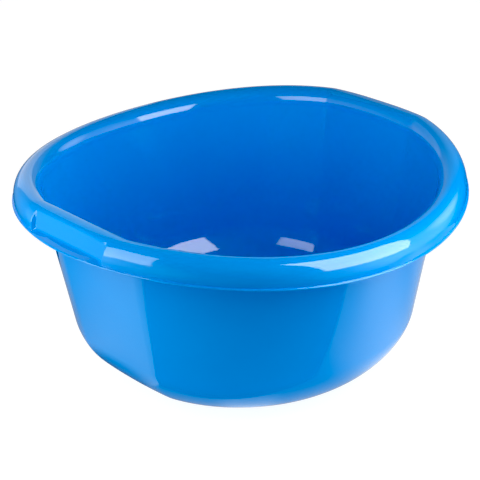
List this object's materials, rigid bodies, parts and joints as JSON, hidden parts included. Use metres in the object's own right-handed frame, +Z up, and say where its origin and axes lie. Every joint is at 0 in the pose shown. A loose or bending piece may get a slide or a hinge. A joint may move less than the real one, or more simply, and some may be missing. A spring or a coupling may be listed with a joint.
{
  "type": "washing-up bowl",
  "caption": "Round plastic washing-up bowl with a drafted wall, a soft base corner and a hollow rolled rim that waves up to opposite finger grips.",
  "frame": {"origin": "on the surface that the bowl stands on, under the middle of its mouth", "axes": "+Z up along the bowl's axis, +X from the middle to one finger grip, +Y across, to a side without a grip"},
  "size_m": [0.39, 0.39, 0.1839],
  "materials": {
    "blue_plastic": "gloss"
  },
  "bodies": {
    "root": {"bowl": "blue_plastic"}
  },
  "joints": []
}
